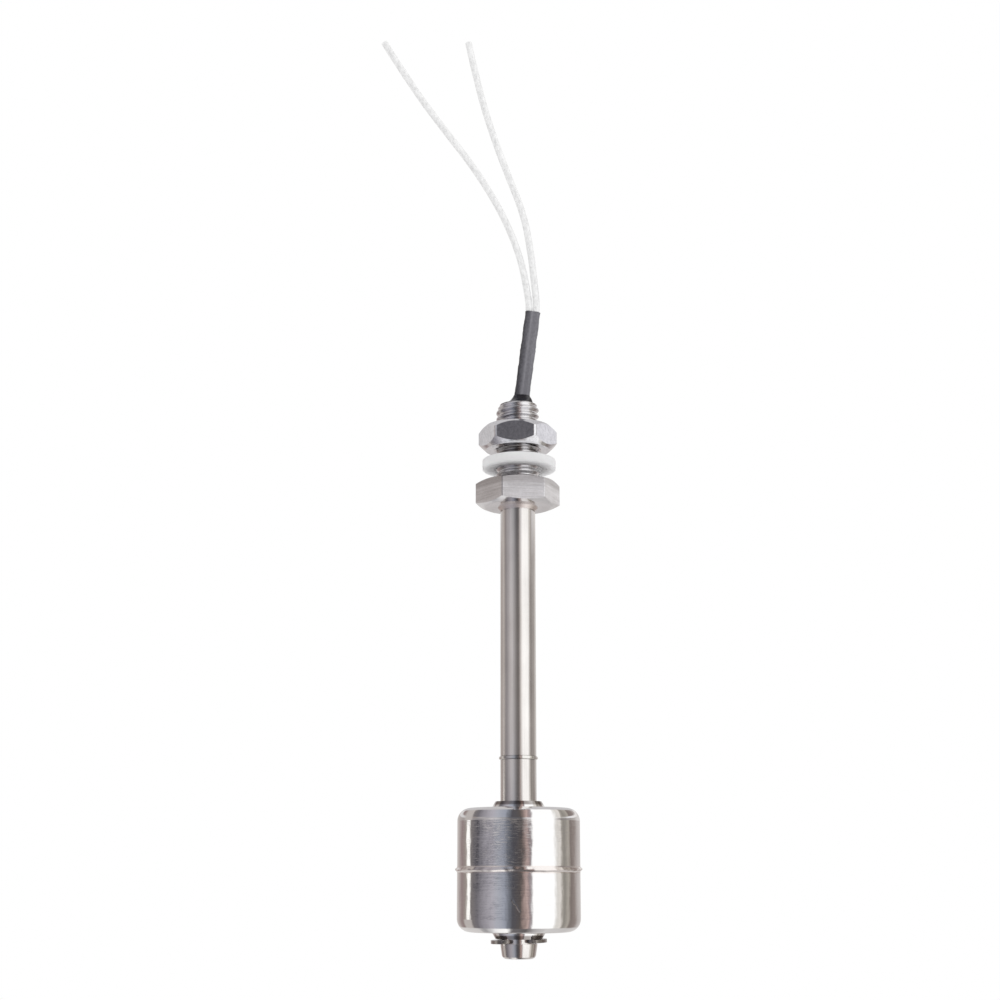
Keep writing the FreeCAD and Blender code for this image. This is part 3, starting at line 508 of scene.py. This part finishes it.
dice = random.Random(7)
ripple = [dice.uniform(-1, 1) for step in range(SLEEVE_STEPS + 1)]
foot = Vector((SLEEVE_FOOT[0], 0, SLEEVE_FOOT[1]))
top = Vector((SLEEVE_TOP[0], 0, SLEEVE_TOP[1]))
upward = (top - foot).normalized()
side = Vector((upward.z, 0, -upward.x))
front = Vector((0, -1, 0))
outer, inner = [], []
for step in range(SLEEVE_STEPS + 1):
    middle = foot.lerp(top, step / SLEEVE_STEPS)
    thick = SLEEVE_HALF_THICK + UNEVEN * ripple[step] + WAVE * math.sin(step * 0.7)
    column = []
    for turn in range(SLEEVE_SIDES):
        angle = 2 * math.pi * turn / SLEEVE_SIDES
        wide = math.cos(angle) * thick + math.copysign(SLEEVE_HALF_SPACING, math.cos(angle))
        between = 1 - min(abs(wide) / SLEEVE_HALF_SPACING, 1)
        deep = math.sin(angle) * thick * (1 - GROOVE * between**2)
        column.append(middle + side * wide + front * deep)
    centre = sum(column, Vector()) / len(column)
    outer.append(column)
    inner.append([point.lerp(centre, WALL_SHARE) for point in column])
skin_and_lining = [inner[0], *outer, inner[-1], inner[-2], inner[1], inner[0]]
sleeve = new_piece(
    "shrunk_sleeve",
    ring_of(skin_and_lining),
    "stem_and_fitting",
    ["heat_shrink_sleeve"],
    sleeve_skin,
)

# ---- the fitting -----------------------------------------------------------------------------
# One piece turned and milled from hexagon bar: the shoulder that seats under the tank's wall, and
# the neck with its M10 thread, bored right through for the wires. Its flats keep the mill's marks.

PITCH = 1.5
THREAD_START = 0.55
# One turn of the thread's profile: how far along the pitch, and how far from crest to root.
THREAD_SHAPE = [
    (0.0, 0.0),
    (0.08, 0.02),
    (0.16, 0.18),
    (0.34, 0.82),
    (0.42, 0.98),
    (0.50, 1.0),
    (0.58, 0.98),
    (0.66, 0.82),
    (0.84, 0.18),
    (0.92, 0.02),
]
NECK_RADIUS = 4.95
ROOT_RADIUS = 4.36
NECK_LENGTH = 18.55
NECK_BORE = 2.8
BORE_CHAMFER = 0.12
RELIEF_RADIUS = 4.1
RELIEF_TOP = 1.0
LEAD_IN_RADIUS = 4.15
LEAD_IN_SLOPE = 0.96
SHOULDER_FLATS = 17.0
SHOULDER_THICK = 5.9
SHOULDER_TURN = 8.0
SHOULDER_ROUNDING = 0.25
SHOULDER_SLOPE = math.radians(22)
LOWER_FACE = SHOULDER_FLATS / 2 - 0.8
UPPER_FACE = SHOULDER_FLATS / 2 - 0.2
SOCKET_RADIUS = 4.01
SOCKET_TOP = -1.9
HALF_FACET = math.radians(30)
CORNER_STEP = 0.45
FACE_EDGE = 0.4  # a last ring of faces inside a flat face, which keeps its shading flat

hexagon_steel, start = new_material("milled_steel")
strokes = cloud(start, 1.0, (0.07, 0.07, 1.5), 3.0, 0.7)
pits = cloud(start, 2.2, (1, 1, 1), 2.0, 0.6)
patches = cloud(start, 0.22)
x, _, z = place_in_mm(start)
# Painted shade: the neck is darker between the gasket and the nut, apart from an upright strip
# right of the front where its highlight stays unshaded.
highlight_strip = x.over(-10, 10, (0.8, 0.0), (1.4, 1.0), (2.2, 1.0), (3.0, 0.0))
painted_gap_shade = z.over(-7, 13, (4.0, 0.0), (5.0, 1.0), (7.6, 1.0), (8.6, 0.0)) * (1 - highlight_strip)
# Painted shade: the shoulder is darker in a band along its top edge.
painted_top_shade = z.over(-7, 13, (-2.1, 0.0), (-1.3, 1.0), (0.0, 1.0), (0.2, 0.0))
threaded = z.over(-7, 13, (0.2, 0.0), (0.6, 1.0))
shade = (strokes * 0.55 + pits * 0.2 + patches * 0.25).ramp((0.34, 0.0), (0.60, 1.0))
finish_material(
    start,
    Base_Color=(painted_gap_shade * 0.6 + painted_top_shade * 0.35).mixed(
        shade.mixed(tone(192, 190, 190), tone(228, 227, 229)), tone(118, 112, 108)
    ),
    Metallic=1.0,
    Roughness=strokes * 0.12 + pits * 0.05 + 0.07 + threaded * 0.04,
    Normal=bumped(start, strokes * 0.6 + pits * 0.4, 0.02),
)


def hexagon_reach(angle, flats, rounding):
    """How far a hexagon with rounded corners reaches, at an angle from one of its corners."""
    off = abs((angle + HALF_FACET) % (2 * HALF_FACET) - HALF_FACET)
    centre = (flats / 2 - rounding) / math.cos(HALF_FACET)
    touch = math.atan2(rounding * math.sin(HALF_FACET), centre + rounding * math.cos(HALF_FACET))
    if off < touch:
        return centre * math.cos(off) + math.sqrt(rounding**2 - (centre * math.sin(off)) ** 2)
    return flats / 2 / math.cos(HALF_FACET - off)


def hexagon_angles(turn):
    """Bearings round a hexagon, close together at its rounded corners."""
    near = [CORNER_STEP * step for step in range(1, 12)]
    facet = [0, *near, *range(6, 55, 3), *(60 - step for step in reversed(near))]
    angles = [math.radians(turn + 60 * corner + step) for corner in range(6) for step in facet]
    return angles + [math.radians(turn + 360)]


def thread_rows(angle, low, high):
    """Radius and height down one side of the right-hand thread, cut off at both ends."""
    rows = []
    for turn in range(math.floor(low / PITCH) - 2, math.ceil(high / PITCH) + 2):
        for along, deep in THREAD_SHAPE:
            level = (turn + along + angle / (2 * math.pi) + THREAD_START) * PITCH
            radius = NECK_RADIUS + (ROOT_RADIUS - NECK_RADIUS) * deep
            rows.append((radius, min(max(level, low), high)))
    return rows


def turned_point(radius, angle, level):
    return Vector((radius * math.cos(angle), radius * math.sin(angle), level))


columns = []
slope = math.tan(SHOULDER_SLOPE)
for angle in hexagon_angles(SHOULDER_TURN):
    reach = hexagon_reach(angle - math.radians(SHOULDER_TURN), SHOULDER_FLATS, SHOULDER_ROUNDING)
    profile = [
        (SOCKET_RADIUS, SOCKET_TOP),
        (SOCKET_RADIUS, -SHOULDER_THICK),
        (LOWER_FACE - FACE_EDGE, -SHOULDER_THICK),
        (LOWER_FACE, -SHOULDER_THICK),
        (reach, -SHOULDER_THICK + (reach - LOWER_FACE) * slope),
        (reach, -(reach - UPPER_FACE) * slope),
        (UPPER_FACE, 0.0),
        (UPPER_FACE - FACE_EDGE, 0.0),
        (RELIEF_RADIUS + 0.1, 0.0),
        (RELIEF_RADIUS, 0.1),
        (RELIEF_RADIUS, RELIEF_TOP - 0.1),
    ]
    for radius, level in thread_rows(angle, RELIEF_TOP, NECK_LENGTH - 0.02):
        lead_in = LEAD_IN_RADIUS + 0.3 * math.cos(angle) + (NECK_LENGTH - level) * LEAD_IN_SLOPE
        run_out = RELIEF_RADIUS + (level - RELIEF_TOP) * 1.2
        profile.append((min(radius, lead_in, run_out), level))
    profile += [
        (RELIEF_RADIUS + 0.02, NECK_LENGTH),
        (NECK_BORE + BORE_CHAMFER, NECK_LENGTH),
        (NECK_BORE, NECK_LENGTH - BORE_CHAMFER),
        (NECK_BORE, SOCKET_TOP),
    ]
    columns.append([turned_point(radius, angle, level) for radius, level in profile])
new_piece(
    "threaded_neck_and_shoulder",
    ring_of(columns),
    "stem_and_fitting",
    ["threaded_fitting"],
    hexagon_steel,
)

# ---- the lock nut ----------------------------------------------------------------------------
# A thin hexagon nut of the same stainless bar, chamfered at both faces, that clamps the tank's
# wall against the shoulder. It is loose here, part way up the thread.

NUT_FLATS = 16.0
NUT_FOOT = 7.7
NUT_THICK = 5.6
NUT_TURN = -4.5
NUT_BORE = 5.01
NUT_BORE_CHAMFER = 0.45
NUT_ROUNDING = 0.9
NUT_FACE = NUT_FLATS / 2 - 0.55
NUT_SLOPE = math.radians(43)

nut_steel, start = new_material("bright_nut_steel")
flecks = cloud(start, 1.5, (1, 1, 0.8), 4.0, 0.75)
plating = cloud(start, 0.3)
finish_material(
    start,
    Base_Color=(flecks * 0.7 + plating * 0.3).ramp(
        (0.36, tone(208, 208, 211)), (0.60, tone(236, 236, 239))
    ),
    Metallic=1.0,
    Roughness=flecks * 0.14 + 0.05,
    Normal=bumped(start, flecks, 0.02),
)

columns = []
nut_top = NUT_FOOT + NUT_THICK
for angle in hexagon_angles(NUT_TURN):
    reach = hexagon_reach(angle - math.radians(NUT_TURN), NUT_FLATS, NUT_ROUNDING)
    drop = (reach - NUT_FACE) * math.tan(NUT_SLOPE)
    profile = [
        (NUT_BORE, nut_top - NUT_BORE_CHAMFER),
        (NUT_BORE, NUT_FOOT + NUT_BORE_CHAMFER),
        (NUT_BORE + NUT_BORE_CHAMFER, NUT_FOOT),
        (NUT_FACE - FACE_EDGE, NUT_FOOT),
        (NUT_FACE, NUT_FOOT),
        (reach, NUT_FOOT + drop),
        (reach, nut_top - drop),
        (NUT_FACE, nut_top),
        (NUT_FACE - FACE_EDGE, nut_top),
        (NUT_BORE + NUT_BORE_CHAMFER, nut_top),
    ]
    columns.append([turned_point(radius, angle, level) for radius, level in profile])
new_piece(
    "thin_lock_nut", ring_of(columns), "lock_nut", ["lock_nut"], nut_steel
)

# ---- the gasket ------------------------------------------------------------------------------
# A flat ring moulded in pale soft plastic, that seals between the shoulder and the tank's wall.
# It hangs loose round the neck, and a little light passes through it.

gasket_skin, start = new_material("pale_gasket")
speck = cloud(start, 1.4)
patch = cloud(start, 0.3)
finish_material(
    start,
    Base_Color=patch.mixed(tone(226, 225, 227), tone(240, 239, 240)),
    Roughness=speck * 0.2 + 0.42,
    Normal=bumped(start, speck, 0.03),
    Subsurface_Weight=1.0,
    Subsurface_Radius=(1.0, 1.0, 1.0),
    Subsurface_Scale=0.008,
)


def finished(skin, *names):
    """Gives nodes of the construction their finish."""
    for name in names:
        for slot in nodes[name].material_slots:
            slot.material = skin


finished(gasket_skin, "gasket")

# ---- the potting -----------------------------------------------------------------------------
# Black epoxy poured round the wires to close the neck. It creeps a little way up the sleeve, and
# runs out thin over the neck's rim.

POTTING_DEPTH = 7.0
POTTING_RADIUS = NECK_BORE - 0.01
POTTING_SPREAD = 3.4
POTTING_SIDES = 64
POTTING_RINGS = 30
CREEP = 2.5
CREEP_REACH = 1.15
EDGE_WIDTH = 0.45
PIN = 0.001  # a radius small enough for a closed middle
SLEEVE_SIDEWAYS = 0.95

potting_skin, start = new_material("black_epoxy")
swirl = cloud(start, 0.9)
finish_material(
    start,
    Base_Color=swirl.mixed(tone(22, 22, 26), tone(40, 40, 45)),
    Roughness=swirl * 0.15 + 0.25,
    Normal=bumped(start, swirl, 0.08),
)

columns = []
for turn in range(POTTING_SIDES + 1):
    angle = 2 * math.pi * turn / POTTING_SIDES
    column = [
        turned_point(PIN, angle, NECK_LENGTH - POTTING_DEPTH),
        turned_point(POTTING_RADIUS, angle, NECK_LENGTH - POTTING_DEPTH),
        turned_point(POTTING_RADIUS, angle, NECK_LENGTH + 0.01),
    ]
    spread = POTTING_SPREAD + 0.25 * math.cos(angle) + 0.08 * math.sin(3 * angle)
    for ring in range(POTTING_RINGS):
        radius = spread * (1 - ring / (POTTING_RINGS - 1))
        spot = turned_point(max(radius, PIN), angle, 0)
        beside = max(abs(spot.x - SLEEVE_SIDEWAYS) - SLEEVE_HALF_SPACING, 0)
        away = math.hypot(beside, spot.y) - SLEEVE_HALF_THICK
        creep = CREEP * math.exp(-max(away, 0) / CREEP_REACH)
        edge = min((spread - radius) / EDGE_WIDTH, 1)
        spot.z = NECK_LENGTH + 0.02 + creep * math.sqrt(edge * (2 - edge))
        column.append(spot)
    columns.append(column)
new_piece(
    "poured_potting",
    ring_of(columns),
    "stem_and_fitting",
    ["potting_plug"],
    potting_skin,
)

# ---- the stem --------------------------------------------------------------------------------
# A drawn stainless tube, welded under the shoulder and closed by a turned end plug. Two stops on
# it hold the float: a round-wire snap ring above, and an E-shaped clip in the plug's groove.

drawn_steel, start = new_material("drawn_steel")
draw_lines = cloud(start, 1.0, (2.2, 2.2, 0.035), 3.0, 0.6)
haze = cloud(start, 0.22, (1, 1, 0.5))
finish_material(
    start,
    Base_Color=(haze * 0.6 + draw_lines * 0.4).ramp(
        (0.3, tone(214, 210, 207)), (0.65, tone(234, 231, 228))
    ),
    Metallic=1.0,
    Roughness=haze * 0.10 + 0.10,
    Normal=bumped(start, draw_lines, 0.006),
)


def plain_steel(name, tint, gloss, marks, depth, stretch):
    """Stainless steel with marks of this scale, depth and stretch, and a few dull stains."""
    made, start = new_material(name)
    lines = cloud(start, marks, stretch, 4.0, 0.65)
    stain = (cloud(start, 0.25) * 0.6 + lines * 0.4).ramp((0.32, 0.78), (0.62, 1.0))
    finish_material(
        start,
        Base_Color=stain.mixed(tuple(part * 0.76 for part in tint), tint),
        Metallic=1.0,
        Roughness=lines * gloss * 0.8 + gloss * 0.6,
        Normal=bumped(start, lines, depth),
    )
    return made


weld_steel = plain_steel(
    "weld_steel", tone(236, 227, 223), gloss=0.45, marks=0.6, depth=0.07, stretch=(1, 1, 0.7)
)
clip_steel = plain_steel(
    "dark_spring_steel", tone(168, 164, 161), gloss=0.20, marks=1.5, depth=0.01, stretch=(1, 1, 1)
)
ring_steel = plain_steel(
    "spring_wire_steel", tone(226, 224, 220), gloss=0.12, marks=2.0, depth=0.004, stretch=(1, 1, 1)
)
finished(drawn_steel, "stem_tube", "stem_end_plug")
finished(weld_steel, "stem_weld")
finished(ring_steel, "upper_stop_ring")
finished(clip_steel, "lower_stop_clip")

# ---- the float -------------------------------------------------------------------------------
# Two deep-drawn cups of thin polished stainless sheet, welded edge to edge round the middle, with
# a tube through them. The bead of the weld stands proud, and the sheet is very slightly wavy.

SEAM_HEIGHT = -87.05
BEAD_STEPS = 240
BEAD_RADIUS = 13.95
BEAD_FOOT = 13.52
BEAD_SKIRT = 13.49
BEAD_BACK = 13.2
SCRATCH_TOP = (-1.6, -93.0)
SCRATCH_FOOT = (0.2, -95.9)
SCRATCH_WIDTH = 0.30

float_steel, start = new_material("polished_float_steel")
x, y, z = place_in_mm(start)
scratch_length = math.dist(SCRATCH_TOP, SCRATCH_FOOT)
run_x, run_z = ((low - high) / scratch_length for high, low in zip(SCRATCH_TOP, SCRATCH_FOOT))
from_x, from_z = x - SCRATCH_TOP[0], z - SCRATCH_TOP[1]
along = (from_x * run_x + from_z * run_z) / scratch_length
off = from_x * run_z - from_z * run_x + (cloud(start, 0.9) - 0.5) * 0.8
near = start.math("ABSOLUTE", off).over(
    0, SCRATCH_WIDTH, (0.3 * SCRATCH_WIDTH, 1.0), (SCRATCH_WIDTH, 0.0)
)
ends = along.over(-0.5, 1.5, (0.0, 0.0), (0.14, 1.0), (0.86, 1.0), (1.0, 0.0))
scratched = near * ends * (y < 0.0)
waves = cloud(start, 0.11, (1, 1, 0.7), 1.0, 0.4)
dents = cloud(start, 0.34, (1, 1, 0.6), 2.0, 0.5)
hairs = cloud(start, 1.2, (0.25, 0.25, 2.6), 3.0, 0.6)
collars = start.math("ABSOLUTE", z - SEAM_HEIGHT).over(0, 20, (13.7, 0.0), (14.0, 1.0))
finish_material(
    start,
    Base_Color=(collars * (dents * 0.8 + 0.3)).mixed(
        hairs.mixed(tone(230, 229, 229), tone(240, 239, 238)), tone(104, 92, 86)
    ),
    Metallic=1.0,
    Roughness=hairs * 0.06 + 0.03 + scratched * 0.08,
    Normal=bumped(start, waves * 0.76 + dents * 0.21 + hairs * 0.03 - scratched * 0.05, 0.30),
)
finished(float_steel, "float_upper_shell", "float_lower_shell", "float_centre_tube")

bead_steel = plain_steel(
    "weld_bead_steel",
    tone(232, 226, 223),
    gloss=0.14,
    marks=0.5,
    depth=0.05,
    stretch=(0.5, 0.5, 0.8),
)
columns = []
for turn in range(BEAD_STEPS + 1):
    angle = 2 * math.pi * (turn % BEAD_STEPS) / BEAD_STEPS
    slow, quick = math.sin(3 * angle + 0.6), math.sin(8 * angle + 2)
    sway = 0.08 * slow + 0.05 * quick + 0.02 * math.sin(29 * angle)
    crest = BEAD_RADIUS + 0.03 * math.sin(37 * angle)
    profile = [
        (BEAD_BACK, -0.66),
        (BEAD_SKIRT, -0.87),
        (BEAD_FOOT, -0.50 + sway),
        (crest - 0.09, -0.15 + sway),
        (crest - 0.02, -0.07 + sway),
        (crest, sway),
        (crest - 0.02, 0.07 + sway),
        (crest - 0.09, 0.15 + sway),
        (BEAD_FOOT, 0.50 + sway),
        (BEAD_SKIRT, 0.87),
        (BEAD_BACK, 0.66),
    ]
    columns.append([turned_point(radius, angle, SEAM_HEIGHT + up) for radius, up in profile])
new_piece("seam_bead", ring_of(columns), "float", ["float_seam_weld"], bead_steel)

# ---- inside the float ------------------------------------------------------------------------
# A sintered ring magnet on a moulded bush, kept there by a washer. The float lifts them, and can
# turn about them.

magnet_skin, start = new_material("sintered_magnet")
speckle = cloud(start, 3.0)
finish_material(
    start,
    Base_Color=speckle.mixed(tone(52, 52, 56), tone(78, 78, 82)),
    Roughness=speckle * 0.2 + 0.5,
    Normal=bumped(start, speckle, 0.03),
)
nylon_skin, start = new_material("natural_nylon")
flow_marks = cloud(start, 0.8)
finish_material(
    start,
    Base_Color=flow_marks.mixed(tone(226, 222, 208), tone(238, 235, 224)),
    Roughness=flow_marks * 0.15 + 0.4,
    Normal=bumped(start, flow_marks, 0.02),
)
finished(magnet_skin, "ring_magnet")
finished(nylon_skin, "magnet_holder", "magnet_retainer")

# ---- inside the stem -------------------------------------------------------------------------
# The reed switch: two springy blades sealed in a glass capsule, in an insulating tube, with a
# lead soldered on at each end under a little sleeve.

glass_skin, start = new_material("reed_capsule_glass")
seed = cloud(start, 1.5)
finish_material(
    start,
    Base_Color=seed.mixed(tone(196, 222, 208), tone(210, 232, 220)),
    Roughness=seed * 0.05 + 0.04,
    Transmission_Weight=0.9,
)
blade_skin = plain_steel(
    "nickel_iron", tone(214, 210, 200), gloss=0.25, marks=2.0, depth=0.004, stretch=(1, 1, 0.2)
)
lead_skin, start = new_material("inner_lead_insulation")
scuff = cloud(start, 1.2)
finish_material(
    start,
    Base_Color=scuff.mixed(tone(206, 206, 208), tone(222, 222, 224)),
    Roughness=scuff * 0.2 + 0.4,
    Normal=bumped(start, scuff, 0.02),
)
finished(glass_skin, "reed_glass")
finished(blade_skin, "reed_blade_upper", "reed_blade_lower")
finished(lead_skin, "lead_upper", "lead_lower")
finished(nylon_skin, "reed_insulation", "splice_tube_upper", "splice_tube_lower")
